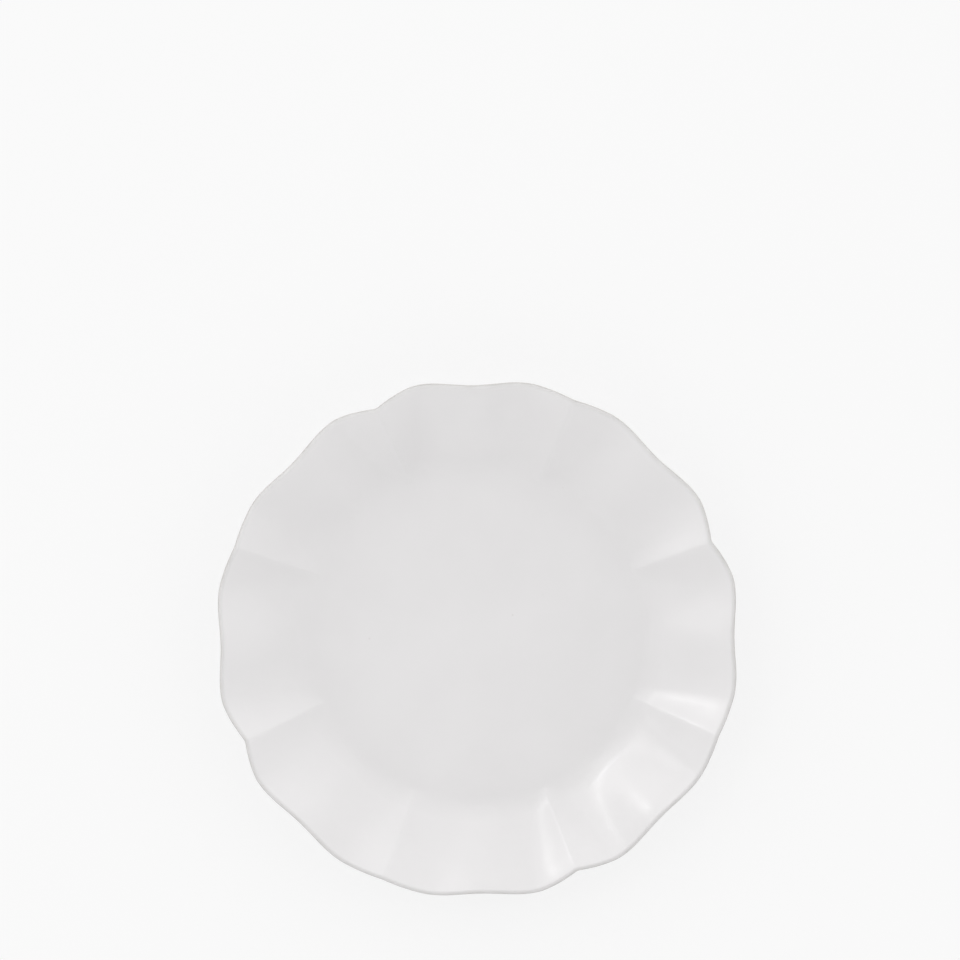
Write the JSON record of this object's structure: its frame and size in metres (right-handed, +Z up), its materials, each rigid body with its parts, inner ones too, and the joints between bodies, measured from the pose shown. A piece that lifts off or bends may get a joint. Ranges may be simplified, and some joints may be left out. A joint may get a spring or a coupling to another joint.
{
  "type": "scalloped dessert plate",
  "caption": "Round glazed stoneware dessert plate with a flat well, a fluted rim with a scalloped lip, and a bare foot ring.",
  "frame": {"origin": "middle of the foot ring's standing plane", "axes": "+Z up out of the well, +X through the middle of one petal and +Y through the middle of another"},
  "size_m": [0.2082, 0.2082, 0.0231],
  "materials": {
    "white_glaze": "glossy white glaze",
    "bare_clay": "bare fired stoneware"
  },
  "bodies": {
    "root": {"stoneware_body": "bare_clay", "foot_ring": "bare_clay", "face_glaze": "white_glaze", "back_glaze": "white_glaze", "base_glaze": "white_glaze"}
  },
  "joints": []
}
